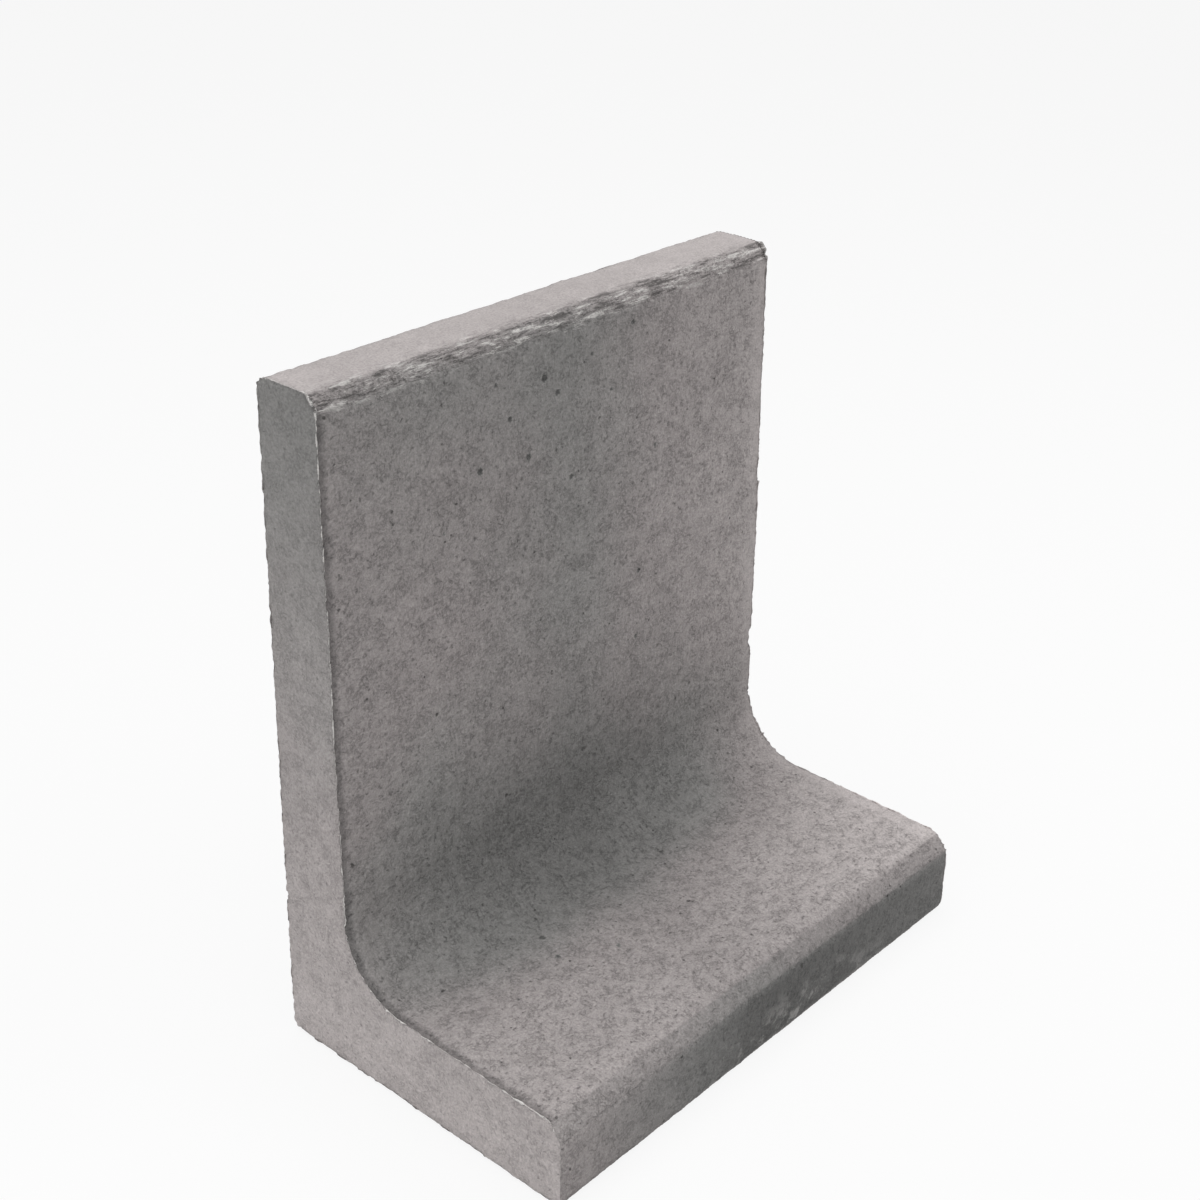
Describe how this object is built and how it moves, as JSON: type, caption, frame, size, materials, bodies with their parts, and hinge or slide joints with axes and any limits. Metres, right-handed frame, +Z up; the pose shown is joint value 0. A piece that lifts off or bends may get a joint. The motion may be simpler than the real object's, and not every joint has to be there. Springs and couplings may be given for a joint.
{
  "type": "retaining block",
  "caption": "L-shaped cast concrete retaining block: an upright wall, a foot and a rounded root between them, with chamfered long edges.",
  "frame": {"origin": "centre of the footprint, on the ground", "axes": "+Z up the wall, X along the length of the wall, -Y from the back of the wall towards the toe of the foot"},
  "size_m": [0.355, 0.21, 0.4],
  "materials": {
    "concrete": "grey dry-cast concrete, sandy face with small air holes"
  },
  "bodies": {
    "root": {"retaining_block": "concrete"}
  },
  "joints": []
}
